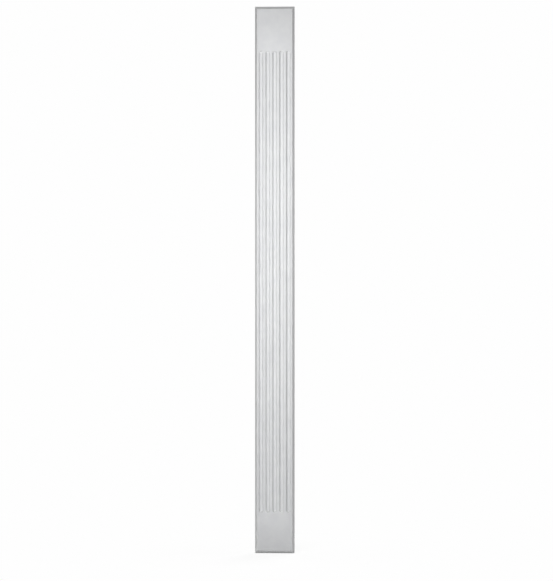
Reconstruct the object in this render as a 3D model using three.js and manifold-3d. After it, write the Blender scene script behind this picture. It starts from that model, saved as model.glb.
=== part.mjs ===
// A fluted pilaster shaft: a flat strip that is fixed upright to a wall and stands for a square column.
// It is one moulding of rigid polyurethane foam with a white primed skin. Five flutes run up its face and
// stop in round ends, short of the head and the foot. A bevel runs round all four sides of the face.
// Sizes are in millimetres. +Z is up and the face looks along -Y. The flat back lies on the wall, at Y = 0,
// and the origin is the centre of the back.

import * as THREE from 'three';
import Module from 'manifold-3d';
import { mergeVertices } from 'three/addons/utils/BufferGeometryUtils.js';

// The strip
const SHAFT_LENGTH = 2000;
const SHAFT_WIDTH = 145;
const SHAFT_THICKNESS = 20;

// The bevel: how far it reaches in over the face, down the sides and across the ends, and how far it drops
const SIDE_BEVEL_WIDTH = 8;
const END_BEVEL_WIDTH = 10;
const BEVEL_DROP = 14;

// The flutes, and the plain lengths that they leave. The border is from the strip's side to the first flute
const FLUTE_COUNT = 5;
const FLUTE_WIDTH = 16;
const FLUTE_DEPTH = 7.5;
const FLUTE_BORDER = 14.5;
const HEAD_PLAIN_LENGTH = 163;
const FOOT_PLAIN_LENGTH = 150;

// Flat faces round a full turn of a flute's round cutter, a multiple of four
const ROUND_FACES = 40;

// How far a bar runs past what it is cut by
const OVERRUN = 5;

// The white primed skin
const PRIMER_COLOUR = 0xe7e9ea;
const PRIMER_ROUGHNESS = 0.5;

const ACROSS = new THREE.Vector3(1, 0, 0);
const OUT_OF_WALL = new THREE.Vector3(0, -1, 0);
const UP = new THREE.Vector3(0, 0, 1);

const wasm = await Module();
wasm.setup();

// A closed mesh as a solid: its shared corners are merged, and triangles with no area at a pole are dropped.
function toSolid(geometry) {
  geometry.deleteAttribute('normal');
  geometry.deleteAttribute('uv');
  const merged = mergeVertices(geometry);
  const corners = merged.index.array;
  const triVerts = [];
  for (let first = 0; first < corners.length; first += 3) {
    const [a, b, c] = corners.slice(first, first + 3);
    if (a !== b && b !== c && c !== a) {
      triVerts.push(a, b, c);
    }
  }
  return new wasm.Manifold(new wasm.Mesh({
    numProp: 3,
    vertProperties: merged.attributes.position.array,
    triVerts: new Uint32Array(triVerts),
  }));
}

// A solid as a mesh whose flat faces keep sharp edges.
function toGeometry(solid) {
  const { vertProperties, triVerts } = solid.getMesh();
  const indexed = new THREE.BufferGeometry();
  indexed.setAttribute('position', new THREE.BufferAttribute(vertProperties, 3));
  indexed.setIndex(new THREE.BufferAttribute(triVerts, 1));
  const geometry = indexed.toNonIndexed();
  geometry.computeVertexNormals();
  return geometry;
}

// A bar with a flat back on the wall and a bevel at both front corners of its outline.
// The outline lies along outlineAxis, and the bar runs square to that and to the wall's normal.
function bevelledBar(outlineAxis, outlineLength, bevelWidth, barLength) {
  const half = outlineLength / 2;
  const edgeHeight = SHAFT_THICKNESS - BEVEL_DROP;
  const outline = new THREE.Shape();
  outline.moveTo(-half, 0);
  outline.lineTo(half, 0);
  outline.lineTo(half, edgeHeight);
  outline.lineTo(half - bevelWidth, SHAFT_THICKNESS);
  outline.lineTo(bevelWidth - half, SHAFT_THICKNESS);
  outline.lineTo(-half, edgeHeight);
  outline.closePath();
  const bar = new THREE.ExtrudeGeometry(outline, { depth: barLength, bevelEnabled: false });
  bar.translate(0, 0, -barLength / 2);
  const barAxis = new THREE.Vector3().crossVectors(outlineAxis, OUT_OF_WALL);
  bar.applyMatrix4(new THREE.Matrix4().makeBasis(outlineAxis, OUT_OF_WALL, barAxis));
  return bar;
}

// The strip with its bevel: one bar carries the bevels of the sides and the other those of the ends,
// and what they share has mitred corners.
function bevelledStrip() {
  const upright = toSolid(bevelledBar(ACROSS, SHAFT_WIDTH, SIDE_BEVEL_WIDTH, SHAFT_LENGTH + 2 * OVERRUN));
  const lengthwise = toSolid(bevelledBar(UP, SHAFT_LENGTH, END_BEVEL_WIDTH, SHAFT_WIDTH + 2 * OVERRUN));
  return upright.intersect(lengthwise);
}

// What hollows out one flute: an upright rod with ball ends. Its radius gives an arc of the flute's width
// and depth, and its axis stands off the face so that only the arc sinks in. A ball end cuts a half round
// in the face, so its centre lies half a flute's width in from the flute's end.
function fluteCutter(x) {
  const halfWidth = FLUTE_WIDTH / 2;
  const radius = (halfWidth ** 2 + FLUTE_DEPTH ** 2) / (2 * FLUTE_DEPTH);
  const top = SHAFT_LENGTH / 2 - HEAD_PLAIN_LENGTH - halfWidth;
  const bottom = -SHAFT_LENGTH / 2 + FOOT_PLAIN_LENGTH + halfWidth;
  const rod = new THREE.CapsuleGeometry(radius, top - bottom, ROUND_FACES / 4, ROUND_FACES);
  rod.rotateX(Math.PI / 2);
  rod.translate(x, FLUTE_DEPTH - radius - SHAFT_THICKNESS, (top + bottom) / 2);
  return toSolid(rod);
}

// The strip with its flutes cut, evenly spaced between the two borders.
function flutedShaft() {
  const firstX = -SHAFT_WIDTH / 2 + FLUTE_BORDER + FLUTE_WIDTH / 2;
  const spacing = -2 * firstX / (FLUTE_COUNT - 1);
  let shaft = bevelledStrip();
  for (let flute = 0; flute < FLUTE_COUNT; flute += 1) {
    shaft = shaft.subtract(fluteCutter(firstX + flute * spacing));
  }
  return toGeometry(shaft);
}

const primer = new THREE.MeshStandardMaterial({
  color: PRIMER_COLOUR,
  roughness: PRIMER_ROUGHNESS,
  metalness: 0,
});

const shaft = new THREE.Mesh(flutedShaft(), primer);
shaft.name = 'fluted_pilaster_shaft';

const pilaster = new THREE.Group();
pilaster.add(shaft);

export default pilaster;
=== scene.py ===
import math

import bmesh
import bpy
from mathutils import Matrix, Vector


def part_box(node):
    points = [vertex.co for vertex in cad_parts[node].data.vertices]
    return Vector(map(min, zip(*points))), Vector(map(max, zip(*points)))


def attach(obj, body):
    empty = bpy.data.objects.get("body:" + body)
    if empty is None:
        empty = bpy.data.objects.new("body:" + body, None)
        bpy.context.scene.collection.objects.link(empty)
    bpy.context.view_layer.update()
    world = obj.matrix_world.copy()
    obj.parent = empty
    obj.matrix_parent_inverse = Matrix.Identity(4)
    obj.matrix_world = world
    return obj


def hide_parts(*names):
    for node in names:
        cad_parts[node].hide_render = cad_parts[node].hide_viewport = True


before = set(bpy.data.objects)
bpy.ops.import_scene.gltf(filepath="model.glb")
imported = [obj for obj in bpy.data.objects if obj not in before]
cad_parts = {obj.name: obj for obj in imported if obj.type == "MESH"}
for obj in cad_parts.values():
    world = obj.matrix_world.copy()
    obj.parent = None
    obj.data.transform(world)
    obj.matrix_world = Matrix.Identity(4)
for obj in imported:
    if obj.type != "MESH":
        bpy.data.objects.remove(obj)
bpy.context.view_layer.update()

MM = 0.001


# The shaft
# A flat strip that is fixed upright to a wall and stands for a square column. It is one moulding of rigid
# polyurethane foam: liquid foam swells against a closed mould, which gives it a dense smooth skin, and the
# skin is sprayed with white primer. Its flutes are long round-ended hollows, moulded in with the rest.
SHAFT = "fluted_pilaster_shaft"
shaft_low, shaft_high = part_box(SHAFT)
shaft_size = shaft_high - shaft_low

SIDE_BEVEL_WIDTH = 8 * MM
END_BEVEL_WIDTH = 10 * MM
BEVEL_DROP = 14 * MM
FLUTE_COUNT = 5
FLUTE_WIDTH = 16 * MM
FLUTE_DEPTH = 7.5 * MM
FLUTE_BORDER = 14.5 * MM
HEAD_PLAIN_LENGTH = 163 * MM
FOOT_PLAIN_LENGTH = 150 * MM
FLUTE_ARRIS_RADIUS = 0.8 * MM
RIM_ARRIS_RADIUS = 1.2 * MM
BACK_ARRIS_RADIUS = 0.4 * MM
CORNER_RADIUS = 1 * MM
SIDE_DRAFT = 0.3 * MM

# How fine the mesh is. The flat margin is a strip of the flat face or back that each wall carries with it,
# and an edge with the arris bend or more counts fully as an arris.
FLAT_MARGIN = 0.8 * MM
FLUTE_ARC_FACES = 14
FLUTE_END_FACES = 12
CORNER_FACES = 5
ARRIS_FACES = 5
ARRIS_BEND = math.radians(12)
WELD_DISTANCE = 0.01 * MM


def fill(tree, node, inputs):
    """Fills a node's inputs, by name or number, with values or with the outputs of other nodes."""
    pairs = inputs.items() if isinstance(inputs, dict) else enumerate(inputs)
    for key, value in pairs:
        if isinstance(value, bpy.types.Node):
            value = value.outputs[0]
        if isinstance(value, bpy.types.NodeSocket):
            tree.links.new(value, node.inputs[key])
        else:
            node.inputs[key].default_value = value


def add(tree, kind, inputs=(), **settings):
    """Adds a node, sets it up and fills its inputs."""
    made = tree.nodes.new(kind)
    for name, value in settings.items():
        setattr(made, name, value)
    fill(tree, made, inputs)
    return made


def linear(hex_colour):
    """An sRGB colour, written in hex, as the linear colour that a shader takes."""
    parts = [int(hex_colour[i:i + 2], 16) / 255 for i in (1, 3, 5)]
    return [p / 12.92 if p <= 0.04045 else ((p + 0.055) / 1.055) ** 2.4 for p in parts] + [1.0]


def nested_rings():
    """The node group that makes a wall of nested rings, each a rectangle with rounded corners.

    A profile curve gives one ring for each of its points: X is how far the ring lies from a starting ring,
    and Y is its height. Corner is where the starting ring's rounded corner has its centre, and Slide is how
    that centre moves with X. Radius is that corner's radius, and Growth is how it changes with X.
    """
    tree = bpy.data.node_groups.new("nested_rings", "GeometryNodeTree")
    for name, kind in (
        ("Profile", "NodeSocketGeometry"),
        ("Corner", "NodeSocketVector"),
        ("Slide", "NodeSocketVector"),
        ("Radius", "NodeSocketFloat"),
        ("Growth", "NodeSocketFloat"),
        ("Faces", "NodeSocketInt"),
    ):
        tree.interface.new_socket(name, in_out="INPUT", socket_type=kind)
    tree.interface.new_socket("Mesh", in_out="OUTPUT", socket_type="NodeSocketGeometry")
    given = tree.nodes.new("NodeGroupInput").outputs

    # Four corners of faces + 1 points each, and one point more that closes the ring on its first
    per_corner = add(tree, "FunctionNodeIntegerMath", [given["Faces"], 1], operation="ADD")
    around = add(tree, "FunctionNodeIntegerMath", [per_corner, 4, 1], operation="MULTIPLY_ADD")
    profile_points = add(tree, "GeometryNodeAttributeDomainSize", [given["Profile"]], component="CURVE")
    grid = add(tree, "GeometryNodeMeshGrid", {"Vertices X": profile_points, "Vertices Y": around})
    index = add(tree, "GeometryNodeInputIndex")
    ring = add(tree, "FunctionNodeIntegerMath", [index, around], operation="DIVIDE_FLOOR")
    step = add(tree, "FunctionNodeIntegerMath", [index, around], operation="MODULO")
    corner = add(tree, "FunctionNodeIntegerMath", [step, per_corner], operation="DIVIDE_FLOOR")
    turn = add(tree, "FunctionNodeIntegerMath", [step, per_corner], operation="MODULO")

    # The way out of the corner's centre to the point, and the quarter that the corner is in
    part_turn = add(tree, "ShaderNodeMath", [turn, given["Faces"]], operation="DIVIDE")
    quarters = add(tree, "ShaderNodeMath", [corner, part_turn], operation="ADD")
    angle = add(tree, "ShaderNodeMath", [quarters, math.pi / 2], operation="MULTIPLY")
    outward = add(
        tree, "ShaderNodeVectorRotate", {"Vector": (1, 0, 0), "Angle": angle}, rotation_type="Z_AXIS")
    mid_angle = add(tree, "ShaderNodeMath", [corner, math.pi / 2, math.pi / 4], operation="MULTIPLY_ADD")
    diagonal = add(
        tree, "ShaderNodeVectorRotate", {"Vector": (1, 0, 0), "Angle": mid_angle}, rotation_type="Z_AXIS")
    quarter = add(tree, "ShaderNodeVectorMath", [diagonal], operation="SIGN")

    # The ring's own size and height, from its point on the profile
    place = add(tree, "GeometryNodeInputPosition")
    on_profile = add(
        tree, "GeometryNodeSampleIndex", {"Geometry": given["Profile"], "Value": place, "Index": ring},
        data_type="FLOAT_VECTOR")
    reach_and_height = add(tree, "ShaderNodeSeparateXYZ", [on_profile])
    reach = reach_and_height.outputs["X"]
    centre = add(
        tree, "ShaderNodeVectorMath", [given["Slide"], reach, given["Corner"]], operation="MULTIPLY_ADD")
    own_centre = add(tree, "ShaderNodeVectorMath", [centre, quarter], operation="MULTIPLY")
    radius = add(tree, "ShaderNodeMath", [given["Growth"], reach, given["Radius"]], operation="MULTIPLY_ADD")
    on_ring = add(tree, "ShaderNodeVectorMath", [outward, radius, own_centre], operation="MULTIPLY_ADD")
    height = add(tree, "ShaderNodeCombineXYZ", {"Z": reach_and_height.outputs["Y"]})
    point = add(tree, "ShaderNodeVectorMath", [on_ring, height], operation="ADD")
    placed = add(tree, "GeometryNodeSetPosition", {"Geometry": grid, "Position": point})
    smooth = add(tree, "GeometryNodeSetShadeSmooth", {"Geometry": placed, "Shade Smooth": True})
    add(tree, "NodeGroupOutput", [smooth])
    return tree


def flute_profile(tree, given, index, half_width):
    """A flute's half section: an arc from its deepest line to the face, then a little of the flat face."""
    depth = given["Flute depth"]
    arc_faces = given["Flute arc faces"]
    half_squared = add(tree, "ShaderNodeMath", [half_width, 2.0], operation="POWER")
    squares = add(tree, "ShaderNodeMath", [depth, depth, half_squared], operation="MULTIPLY_ADD")
    twice_depth = add(tree, "ShaderNodeMath", [depth, 2.0], operation="MULTIPLY")
    arc_radius = add(tree, "ShaderNodeMath", [squares, twice_depth], operation="DIVIDE")
    half_share = add(tree, "ShaderNodeMath", [half_width, arc_radius], operation="DIVIDE")
    arc_angle = add(tree, "ShaderNodeMath", [half_share], operation="ARCSINE")
    arc_step = add(tree, "ShaderNodeMath", [arc_angle, arc_faces], operation="DIVIDE")
    turned = add(tree, "ShaderNodeMath", [index, arc_step], operation="MULTIPLY")
    sine = add(tree, "ShaderNodeMath", [turned], operation="SINE")
    cosine = add(tree, "ShaderNodeMath", [turned], operation="COSINE")
    arc_x = add(tree, "ShaderNodeMath", [arc_radius, sine], operation="MULTIPLY")
    axis_height = add(tree, "ShaderNodeMath", [arc_radius, depth], operation="SUBTRACT")
    arc_drop = add(tree, "ShaderNodeMath", [arc_radius, cosine], operation="MULTIPLY")
    arc_y = add(tree, "ShaderNodeMath", [axis_height, arc_drop], operation="SUBTRACT")
    on_arc = add(tree, "ShaderNodeCombineXYZ", [arc_x, arc_y])
    flat_x = add(tree, "ShaderNodeMath", [half_width, given["Flat margin"]], operation="ADD")
    on_flat = add(tree, "ShaderNodeCombineXYZ", [flat_x])

    # The arc's last point is the arris, which is rounded, and the point after it is on the flat
    is_flat = add(tree, "FunctionNodeCompare", {"A": index, "B": arc_faces}, data_type="INT")
    section = add(
        tree, "GeometryNodeSwitch", {"Switch": is_flat, "False": on_arc, "True": on_flat},
        input_type="VECTOR")
    section_points = add(tree, "FunctionNodeIntegerMath", [arc_faces, 2], operation="ADD")
    points = add(tree, "GeometryNodePoints", {"Count": section_points, "Position": section})
    line = add(tree, "GeometryNodePointsToCurves", [points])
    is_arris = add(
        tree, "FunctionNodeCompare", {"A": index, "B": arc_faces}, data_type="INT", operation="EQUAL")
    arris = add(tree, "ShaderNodeMath", [is_arris, given["Flute arris radius"]], operation="MULTIPLY")
    return add(
        tree, "GeometryNodeFilletCurve", {"Curve": line, "Radius": arris, "Count": given["Arris faces"]},
        mode="POLY")


def flute_row(tree, given, profile, rings, half_width, half_shaft):
    """The flutes, side by side. The centres of a flute's ball ends lie half its width in from its ends."""
    head_plain = given["Head plain length"]
    foot_plain = given["Foot plain length"]
    plain = add(tree, "ShaderNodeMath", [head_plain, foot_plain], operation="ADD")
    taken = add(tree, "ShaderNodeMath", [plain, given["Flute width"]], operation="ADD")
    straight = add(tree, "ShaderNodeMath", [given["Length"], taken], operation="SUBTRACT")
    half_straight = add(tree, "ShaderNodeMath", [straight, 0.5], operation="MULTIPLY")
    end_centre = add(tree, "ShaderNodeCombineXYZ", {"Y": half_straight})
    flute = add(
        tree, "GeometryNodeGroup",
        {"Profile": profile, "Corner": end_centre, "Growth": 1.0, "Faces": given["Flute end faces"]},
        node_tree=rings)

    # Evenly spaced between the borders, and nearer the foot, where the plain length is shorter
    to_first = add(tree, "ShaderNodeMath", [given["Flute border"], half_width], operation="ADD")
    last_x = add(tree, "ShaderNodeMath", [half_shaft, to_first], operation="SUBTRACT")
    first_x = add(tree, "ShaderNodeMath", [to_first, half_shaft], operation="SUBTRACT")
    spaces = add(tree, "ShaderNodeMath", [given["Flute count"], 1.0], operation="SUBTRACT")
    span = add(tree, "ShaderNodeMath", [last_x, first_x], operation="SUBTRACT")
    spacing = add(tree, "ShaderNodeMath", [span, spaces], operation="DIVIDE")
    plain_slack = add(tree, "ShaderNodeMath", [foot_plain, head_plain], operation="SUBTRACT")
    middle_y = add(tree, "ShaderNodeMath", [plain_slack, 0.5], operation="MULTIPLY")
    first = add(tree, "ShaderNodeCombineXYZ", [first_x, middle_y])
    between = add(tree, "ShaderNodeCombineXYZ", [spacing])
    row = add(
        tree, "GeometryNodeMeshLine",
        {"Count": given["Flute count"], "Start Location": first, "Offset": between})
    copies = add(tree, "GeometryNodeInstanceOnPoints", {"Points": row, "Instance": flute})
    return add(tree, "GeometryNodeRealizeInstances", [copies])


def rim_profile(tree, given, index, back_y):
    """The rim's section, from the flat face over the bevel and down the drafted side to the back."""
    inner_x = add(tree, "ShaderNodeMath", [given["Side bevel"], given["Flat margin"]], operation="ADD")
    back_x = add(tree, "ShaderNodeMath", [given["Side draft"], given["Flat margin"]], operation="ADD")
    edge_y = add(tree, "ShaderNodeMath", [given["Bevel drop"], -1.0], operation="MULTIPLY")
    corners = [
        add(tree, "ShaderNodeCombineXYZ", [inner_x]),
        add(tree, "ShaderNodeCombineXYZ", [given["Side bevel"]]),
        add(tree, "ShaderNodeCombineXYZ", {"Y": edge_y}),
        add(tree, "ShaderNodeCombineXYZ", [given["Side draft"], back_y]),
        add(tree, "ShaderNodeCombineXYZ", [back_x, back_y]),
    ]
    radii = [0.0, given["Rim arris radius"], given["Rim arris radius"], given["Back arris radius"], 0.0]
    corner_place = add(tree, "GeometryNodeIndexSwitch", {"Index": index}, data_type="VECTOR")
    corner_arris = add(tree, "GeometryNodeIndexSwitch", {"Index": index}, data_type="FLOAT")
    for switch, values in ((corner_place, corners), (corner_arris, radii)):
        while len(switch.index_switch_items) < len(values):
            switch.index_switch_items.new()
        fill(tree, switch, {str(number): value for number, value in enumerate(values)})
    points = add(tree, "GeometryNodePoints", {"Count": len(corners), "Position": corner_place})
    line = add(tree, "GeometryNodePointsToCurves", [points])
    return add(
        tree, "GeometryNodeFilletCurve",
        {"Curve": line, "Radius": corner_arris, "Count": given["Arris faces"]}, mode="POLY")


def rim_wall(tree, given, profile, rings, half_shaft):
    """The rim all the way round. Its bevel is wider at the ends, so it slides further in there."""
    half_length = add(tree, "ShaderNodeMath", [given["Length"], 0.5], operation="MULTIPLY")
    outline = add(tree, "ShaderNodeCombineXYZ", [half_shaft, half_length])
    corner = add(tree, "ShaderNodeVectorMath", [outline, given["Corner radius"]], operation="SUBTRACT")
    end_share = add(tree, "ShaderNodeMath", [given["End bevel"], given["Side bevel"]], operation="DIVIDE")
    inward = add(tree, "ShaderNodeCombineXYZ", [1.0, end_share])
    slide = add(tree, "ShaderNodeVectorMath", [inward, (-1, -1, 0)], operation="MULTIPLY")
    return add(
        tree, "GeometryNodeGroup",
        {"Profile": profile, "Corner": corner, "Slide": slide, "Radius": given["Corner radius"],
         "Faces": given["Corner faces"]},
        node_tree=rings)


def closed_by_flats(tree, rim, flutes, back_y):
    """The rim and the flutes, with the flat face and the flat back that fill the edges they leave open."""
    walls = add(tree, "GeometryNodeJoinGeometry")
    for part in (rim, flutes):
        fill(tree, walls, [part])
    welded_walls = add(tree, "GeometryNodeMergeByDistance", {"Geometry": walls, "Distance": WELD_DISTANCE})
    faces_beside = add(tree, "GeometryNodeInputMeshEdgeNeighbors")
    is_open = add(
        tree, "FunctionNodeCompare", {"A": faces_beside, "B": 1}, data_type="INT", operation="EQUAL")
    place = add(tree, "ShaderNodeSeparateXYZ", [add(tree, "GeometryNodeInputPosition")])
    half_depth = add(tree, "ShaderNodeMath", [back_y, 0.5], operation="MULTIPLY")
    is_front = add(tree, "FunctionNodeCompare", {"A": place.outputs["Z"], "B": half_depth})
    front_edges = add(tree, "FunctionNodeBooleanMath", [is_open, is_front], operation="AND")
    back_edges = add(tree, "FunctionNodeBooleanMath", [is_open, is_front], operation="NIMPLY")
    face_outline = add(tree, "GeometryNodeMeshToCurve", [welded_walls, front_edges])
    face = add(tree, "GeometryNodeFillCurve", [face_outline])
    back_outline = add(tree, "GeometryNodeMeshToCurve", [welded_walls, back_edges])
    flat_back = add(tree, "GeometryNodeFillCurve", [back_outline])
    back_drop = add(tree, "ShaderNodeCombineXYZ", {"Z": back_y})
    back = add(tree, "GeometryNodeTransform", {"Geometry": flat_back, "Translation": back_drop})
    whole = add(tree, "GeometryNodeJoinGeometry")
    for part in (face, welded_walls, back):
        fill(tree, whole, [part])
    return add(tree, "GeometryNodeMergeByDistance", {"Geometry": whole, "Distance": WELD_DISTANCE})


def fluted_shaft(sizes):
    """The node group that makes the whole shaft, and its inputs' identifiers by name.

    It is built lying on its back, with X across, Y up the shaft and the face at height 0, and stood up last.
    """
    tree = bpy.data.node_groups.new("fluted_shaft", "GeometryNodeTree")
    kinds = {float: "NodeSocketFloat", int: "NodeSocketInt", bpy.types.Material: "NodeSocketMaterial"}
    identifiers = {}
    for name, value in sizes.items():
        socket = tree.interface.new_socket(name, in_out="INPUT", socket_type=kinds[type(value)])
        identifiers[name] = socket.identifier
    tree.interface.new_socket("Mesh", in_out="OUTPUT", socket_type="NodeSocketGeometry")
    given = tree.nodes.new("NodeGroupInput").outputs
    rings = nested_rings()
    index = add(tree, "GeometryNodeInputIndex")
    half_width = add(tree, "ShaderNodeMath", [given["Flute width"], 0.5], operation="MULTIPLY")
    half_shaft = add(tree, "ShaderNodeMath", [given["Width"], 0.5], operation="MULTIPLY")
    back_y = add(tree, "ShaderNodeMath", [given["Thickness"], -1.0], operation="MULTIPLY")
    flute_section = flute_profile(tree, given, index, half_width)
    flutes = flute_row(tree, given, flute_section, rings, half_width, half_shaft)
    rim_section = rim_profile(tree, given, index, back_y)
    rim = rim_wall(tree, given, rim_section, rings, half_shaft)
    lying = closed_by_flats(tree, rim, flutes, back_y)
    face_y = add(tree, "ShaderNodeCombineXYZ", {"Y": back_y})
    upright = add(
        tree, "GeometryNodeTransform",
        {"Geometry": lying, "Translation": face_y, "Rotation": (math.pi / 2, 0, 0)})

    # Each point keeps its share of an outer arris, for the primer to read
    bend = add(tree, "GeometryNodeInputMeshEdgeAngle").outputs["Signed Angle"]
    arris_share = add(tree, "ShaderNodeMapRange", {"Value": bend, "From Max": ARRIS_BEND})
    marked = add(
        tree, "GeometryNodeStoreNamedAttribute",
        {"Geometry": upright, "Name": "arris", "Value": arris_share}, data_type="FLOAT", domain="POINT")

    # Primer everywhere but on the back, which lies on the wall
    realized = add(tree, "GeometryNodeRealizeInstances", [marked])
    primed = add(tree, "GeometryNodeSetMaterial", {"Geometry": realized, "Material": given["Primer"]})
    stood = add(tree, "ShaderNodeSeparateXYZ", [add(tree, "GeometryNodeInputPosition")])
    on_wall = add(tree, "FunctionNodeCompare", {"A": stood.outputs["Y"], "B": -WELD_DISTANCE})
    finished = add(
        tree, "GeometryNodeSetMaterial",
        {"Geometry": primed, "Selection": on_wall, "Material": given["Bare foam"]})
    add(tree, "NodeGroupOutput", [finished])
    return tree, identifiers


# Factory primer: a white acrylic coat sprayed on rigid polyurethane foam's dense skin. It is a cool white
# with an eggshell sheen and a fine orange peel. It lies a little unevenly, and the arrises are rubbed
# brighter and smoother. The slopes are painted greyer, a painted shade that deepens as a face turns away
# from the front.
PRIMER_COLOUR = "#e8e9ea"
# The grey of the painted shade on the slopes
PRIMER_SLOPE_SHADE_COLOUR = "#d0d1d0"
PRIMER_PATCH_COLOUR = "#e3e4e6"
PRIMER_ARRIS_COLOUR = "#f3f4f4"
PRIMER_IOR = 1.49
PRIMER_ROUGHNESS = 0.5
PRIMER_RUBBED_ROUGHNESS = 0.42
ORANGE_PEEL_WIDTH = 2.5 * MM
ORANGE_PEEL_HEIGHT = 0.01 * MM
COAT_PATCH_WIDTH = 35 * MM
MOULD_WAVE_WIDTH = 90 * MM
MOULD_WAVE_HEIGHT = 0.12 * MM

# The part of a noise's range that fades one colour into the other
NOISE_LOW = 0.35
NOISE_HIGH = 0.65


def primed_skin():
    """White primer sprayed on the foam's dense skin."""
    material = bpy.data.materials.new("factory_primed_polyurethane")
    material.use_nodes = True
    tree = material.node_tree
    place = add(tree, "ShaderNodeTexCoord").outputs["Object"]

    # Patches where the coat is thicker and thinner
    patches = add(
        tree, "ShaderNodeTexNoise", {"Vector": place, "Scale": 1 / COAT_PATCH_WIDTH, "Detail": 3.0})
    patch_share = add(
        tree, "ShaderNodeMapRange", {"Value": patches, "From Min": NOISE_LOW, "From Max": NOISE_HIGH})
    patchy = add(
        tree, "ShaderNodeMix",
        {"Factor": patch_share, "A": linear(PRIMER_COLOUR), "B": linear(PRIMER_PATCH_COLOUR)},
        data_type="RGBA")

    # Painted shade on the slopes, greyer as a face turns away from the front, and the rubbed arrises
    facing = add(tree, "ShaderNodeSeparateXYZ", [add(tree, "ShaderNodeNewGeometry").outputs["Normal"]])
    slope = add(
        tree, "ShaderNodeMapRange", {"Value": facing.outputs["Y"], "From Min": -1.0, "From Max": 0.0})
    slope_shaded = add(
        tree, "ShaderNodeMix",
        {"Factor": slope, "A": patchy.outputs["Result"], "B": linear(PRIMER_SLOPE_SHADE_COLOUR)},
        data_type="RGBA")
    arris = add(tree, "ShaderNodeAttribute", attribute_name="arris").outputs["Fac"]
    rubbed = add(
        tree, "ShaderNodeMix",
        {"Factor": arris, "A": slope_shaded.outputs["Result"], "B": linear(PRIMER_ARRIS_COLOUR)},
        data_type="RGBA")
    roughness = add(
        tree, "ShaderNodeMapRange",
        {"Value": arris, "To Min": PRIMER_ROUGHNESS, "To Max": PRIMER_RUBBED_ROUGHNESS})

    # The mould's long soft waves under the fine orange peel
    waves = add(tree, "ShaderNodeTexNoise", {"Vector": place, "Scale": 1 / MOULD_WAVE_WIDTH, "Detail": 1.0})
    wavy = add(tree, "ShaderNodeBump", {"Height": waves, "Distance": MOULD_WAVE_HEIGHT})
    peel = add(tree, "ShaderNodeTexNoise", {"Vector": place, "Scale": 1 / ORANGE_PEEL_WIDTH, "Detail": 2.0})
    surface = add(
        tree, "ShaderNodeBump", {"Height": peel, "Distance": ORANGE_PEEL_HEIGHT, "Normal": wavy})
    fill(tree, tree.nodes["Principled BSDF"], {
        "Base Color": rubbed.outputs["Result"],
        "Roughness": roughness,
        "IOR": PRIMER_IOR,
        "Normal": surface,
    })
    return material


# The back: the foam's own skin as it left the mould, without primer. It is matt and creamy, with faint
# swirls where the foam flowed and small pinholes left by its gas, whose floors are painted darker as painted
# shade.
BACK_COLOUR = "#ebe8df"
BACK_SWIRL_COLOUR = "#e4dfd3"
# The painted shade in the pinholes
BACK_PINHOLE_SHADE_COLOUR = "#b9b2a2"
BACK_IOR = 1.5
BACK_ROUGHNESS = 0.72
BACK_SWIRL_WIDTH = 60 * MM
BACK_GRAIN_WIDTH = 1.5 * MM
BACK_GRAIN_HEIGHT = 0.05 * MM
PINHOLE_SPACING = 9 * MM
PINHOLE_WIDTH = 1.4 * MM
PINHOLE_FLOOR_WIDTH = 0.7 * MM
PINHOLE_DEPTH = 0.6 * MM


def bare_back():
    """The foam's own skin on the back, which gets no primer."""
    material = bpy.data.materials.new("moulded_polyurethane_back")
    material.use_nodes = True
    tree = material.node_tree
    place = add(tree, "ShaderNodeTexCoord").outputs["Object"]
    flow = add(
        tree, "ShaderNodeTexNoise",
        {"Vector": place, "Scale": 1 / BACK_SWIRL_WIDTH, "Detail": 4.0, "Distortion": 1.2})
    swirl = add(
        tree, "ShaderNodeMapRange", {"Value": flow, "From Min": NOISE_LOW, "From Max": NOISE_HIGH})
    swirled = add(
        tree, "ShaderNodeMix",
        {"Factor": swirl, "A": linear(BACK_COLOUR), "B": linear(BACK_SWIRL_COLOUR)}, data_type="RGBA")

    # One pinhole in each cell, with the edges of its floor and of its rim given in cell widths. Its floor
    # is painted darker: painted shade in the pit.
    cells = add(tree, "ShaderNodeTexVoronoi", {"Vector": place, "Scale": 1 / PINHOLE_SPACING})
    floor_edge = 0.5 * PINHOLE_FLOOR_WIDTH / PINHOLE_SPACING
    rim_edge = 0.5 * PINHOLE_WIDTH / PINHOLE_SPACING
    hole = add(
        tree, "ShaderNodeMapRange",
        {"Value": cells, "From Min": floor_edge, "From Max": rim_edge, "To Min": 1.0, "To Max": 0.0})
    pit_shaded = add(
        tree, "ShaderNodeMix",
        {"Factor": hole, "A": swirled.outputs["Result"], "B": linear(BACK_PINHOLE_SHADE_COLOUR)},
        data_type="RGBA")
    grain = add(tree, "ShaderNodeTexNoise", {"Vector": place, "Scale": 1 / BACK_GRAIN_WIDTH, "Detail": 2.0})
    grainy = add(tree, "ShaderNodeBump", {"Height": grain, "Distance": BACK_GRAIN_HEIGHT})
    surface = add(
        tree, "ShaderNodeBump", {"Height": hole, "Distance": PINHOLE_DEPTH, "Normal": grainy}, invert=True)
    fill(tree, tree.nodes["Principled BSDF"], {
        "Base Color": pit_shaded.outputs["Result"],
        "Roughness": BACK_ROUGHNESS,
        "IOR": BACK_IOR,
        "Normal": surface,
    })
    return material


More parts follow.
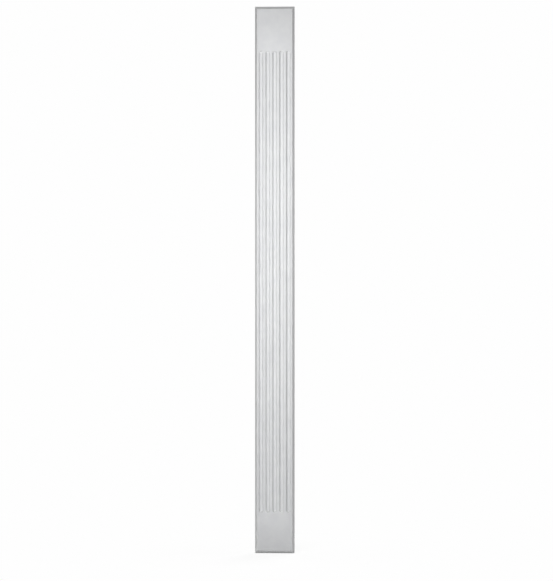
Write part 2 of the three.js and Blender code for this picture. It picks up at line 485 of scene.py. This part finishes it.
sizes = {
    "Length": shaft_size.z,
    "Width": shaft_size.x,
    "Thickness": shaft_size.y,
    "Side bevel": SIDE_BEVEL_WIDTH,
    "End bevel": END_BEVEL_WIDTH,
    "Bevel drop": BEVEL_DROP,
    "Flute count": FLUTE_COUNT,
    "Flute width": FLUTE_WIDTH,
    "Flute depth": FLUTE_DEPTH,
    "Flute border": FLUTE_BORDER,
    "Head plain length": HEAD_PLAIN_LENGTH,
    "Foot plain length": FOOT_PLAIN_LENGTH,
    "Flute arris radius": FLUTE_ARRIS_RADIUS,
    "Rim arris radius": RIM_ARRIS_RADIUS,
    "Back arris radius": BACK_ARRIS_RADIUS,
    "Corner radius": CORNER_RADIUS,
    "Side draft": SIDE_DRAFT,
    "Flat margin": FLAT_MARGIN,
    "Flute arc faces": FLUTE_ARC_FACES,
    "Flute end faces": FLUTE_END_FACES,
    "Corner faces": CORNER_FACES,
    "Arris faces": ARRIS_FACES,
    "Primer": primed_skin(),
    "Bare foam": bare_back(),
}
shaft_tree, identifiers = fluted_shaft(sizes)
blank = bpy.data.objects.new("shaft_blank", bpy.data.meshes.new("shaft_blank"))
bpy.context.scene.collection.objects.link(blank)
modifier = blank.modifiers.new("fluted_shaft", "NODES")
modifier.node_group = shaft_tree
for name, value in sizes.items():
    modifier[identifiers[name]] = value
evaluated = blank.evaluated_get(bpy.context.evaluated_depsgraph_get())
shaft_mesh = bpy.data.meshes.new_from_object(evaluated)
bpy.data.objects.remove(blank)

# The faces are turned to point outwards
faces_out = bmesh.new()
faces_out.from_mesh(shaft_mesh)
bmesh.ops.recalc_face_normals(faces_out, faces=faces_out.faces)
faces_out.to_mesh(shaft_mesh)
faces_out.free()
shaft = bpy.data.objects.new("fluted_shaft", shaft_mesh)
bpy.context.scene.collection.objects.link(shaft)
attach(shaft, "root")
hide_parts(SHAFT)


# The studio
# A pale floor under the foot and a white ground behind. Soft boxes light the face from the left and from in
# front, two strips even it out and fade at its head and foot, and long lights beside and above it reach the
# steep bevels. Two more boxes light the back.
FLOOR_SIZE = 3.0
FLOOR_BOUNCE = 0.76
SHADOW_REACH = 0.6
SHADED_GLOW = 0.85
SHADED_PAINT = 0.2
GROUND_COLOUR = "#fefefe"
STUDIO_GLOW = 0.03


def grey(level):
    """A grey colour of one linear level."""
    return (level, level, level, 1)


def white_floor():
    """Seen directly, it is as white as the ground behind, with faint shadows near the foot.

    The light that it gives back to the shaft is that of a plain pale floor.
    """
    material = bpy.data.materials.new("white_floor")
    material.use_nodes = True
    tree = material.node_tree
    tree.nodes.remove(tree.nodes["Principled BSDF"])
    white = add(tree, "ShaderNodeEmission", [linear(GROUND_COLOUR)])
    base = add(tree, "ShaderNodeEmission", [grey(SHADED_GLOW)])
    lit = add(tree, "ShaderNodeBsdfDiffuse", [grey(SHADED_PAINT)])
    shaded = add(tree, "ShaderNodeAddShader", [base, lit])
    place = add(tree, "ShaderNodeTexCoord").outputs["Object"]
    reach = add(tree, "ShaderNodeVectorMath", [place], operation="LENGTH").outputs["Value"]
    fade = add(
        tree, "ShaderNodeMapRange",
        {"Value": reach, "From Max": SHADOW_REACH, "To Min": 1.0, "To Max": 0.0},
        interpolation_type="SMOOTHSTEP")
    seen = add(tree, "ShaderNodeMixShader", [fade, white, shaded])
    bounce = add(tree, "ShaderNodeBsdfDiffuse", [grey(FLOOR_BOUNCE)])
    is_seen = add(tree, "ShaderNodeLightPath").outputs["Is Camera Ray"]
    either = add(tree, "ShaderNodeMixShader", [is_seen, bounce, seen])
    fill(tree, tree.nodes["Material Output"], {"Surface": either})
    return material


bpy.ops.mesh.primitive_plane_add(size=FLOOR_SIZE, location=(0, 0, shaft_low.z))
floor = bpy.context.object
floor.name = "floor"
floor.data.materials.append(white_floor())

world = bpy.data.worlds.new("studio")
world.use_nodes = True
bpy.context.scene.world = world
is_seen = add(world.node_tree, "ShaderNodeLightPath").outputs["Is Camera Ray"]
ground = add(
    world.node_tree, "ShaderNodeMix",
    {"Factor": is_seen, "A": grey(STUDIO_GLOW), "B": linear(GROUND_COLOUR)}, data_type="RGBA")
fill(world.node_tree, world.node_tree.nodes["Background"], {"Color": ground.outputs["Result"]})

bpy.context.scene.view_settings.view_transform = "Standard"


def soft_light(name, place, aim, width, height, watts):
    """A rectangular soft light that faces a point and doesn't show itself."""
    lamp = bpy.data.lights.new(name, "AREA")
    lamp.shape = "RECTANGLE"
    lamp.size = width
    lamp.size_y = height
    lamp.energy = watts
    light = bpy.data.objects.new(name, lamp)
    light.location = place
    light.rotation_euler = (Vector(aim) - Vector(place)).to_track_quat("-Z", "Y").to_euler()
    light.visible_camera = False
    bpy.context.scene.collection.objects.link(light)


soft_light("upper_left_box", (-0.4, -2.0, 1.0), (0, 0, 0.1), 0.8, 0.8, 16.3)
soft_light("lower_left_box", (-1.6, -2.0, -0.6), (0, 0, 0.1), 0.8, 0.8, 9.4)
soft_light("middle_box", (0.0, -1.0, 0.15), (0, 0, 0.15), 0.4, 1.0, 3.2)
soft_light("front_strip", (0.0, -0.6, 0.0), (0, 0, 0), 0.3, 2.2, 1.2)
soft_light("close_strip", (0.0, -0.08, 0.0), (0, 0, 0), 0.12, 1.82, 0.105)
soft_light("right_edge_light", (2.0, 0.0, 0.45), (0, 0, 0.45), 0.4, 2.0, 8.2)
soft_light("top_edge_light", (0.0, -0.1, 2.2), (0, 0, 0.9), 0.6, 0.3, 2.9)
soft_light("back_box", (0.8, 2.2, 0.6), (0, 0, 0), 1.2, 1.2, 40)
soft_light("back_fill", (-1.6, 2.0, 0.0), (0, 0, 0), 0.8, 1.6, 12)

# The camera stands level and far off, a little to the right of straight on. The photo's size and the shaft's
# middle and length in it are in pixels, and the lens and its sensor in millimetres.
PHOTO_SIZE = (553, 581)
SHAFT_MIDDLE = (274.75, 279.9)
SHAFT_PIXELS = 546.7
LENS = 150
SENSOR = 36
TURN = math.radians(3)
per_pixel = shaft_size.z / SHAFT_PIXELS
distance = per_pixel * PHOTO_SIZE[1] * LENS / SENSOR
lens = bpy.data.cameras.new("camera")
lens.lens = LENS
lens.sensor_width = SENSOR
camera = bpy.data.objects.new("camera", lens)
bpy.context.scene.collection.objects.link(camera)
right = Vector((math.cos(TURN), math.sin(TURN), 0))
back = Vector((math.sin(TURN), -math.cos(TURN), 0))
aim = (shaft_low + shaft_high) / 2
aim += right * (PHOTO_SIZE[0] / 2 - SHAFT_MIDDLE[0]) * per_pixel
aim -= Vector((0, 0, 1)) * (PHOTO_SIZE[1] / 2 - SHAFT_MIDDLE[1]) * per_pixel
camera.location = aim + back * distance
camera.rotation_euler = (-back).to_track_quat("-Z", "Y").to_euler()
bpy.context.scene.camera = camera
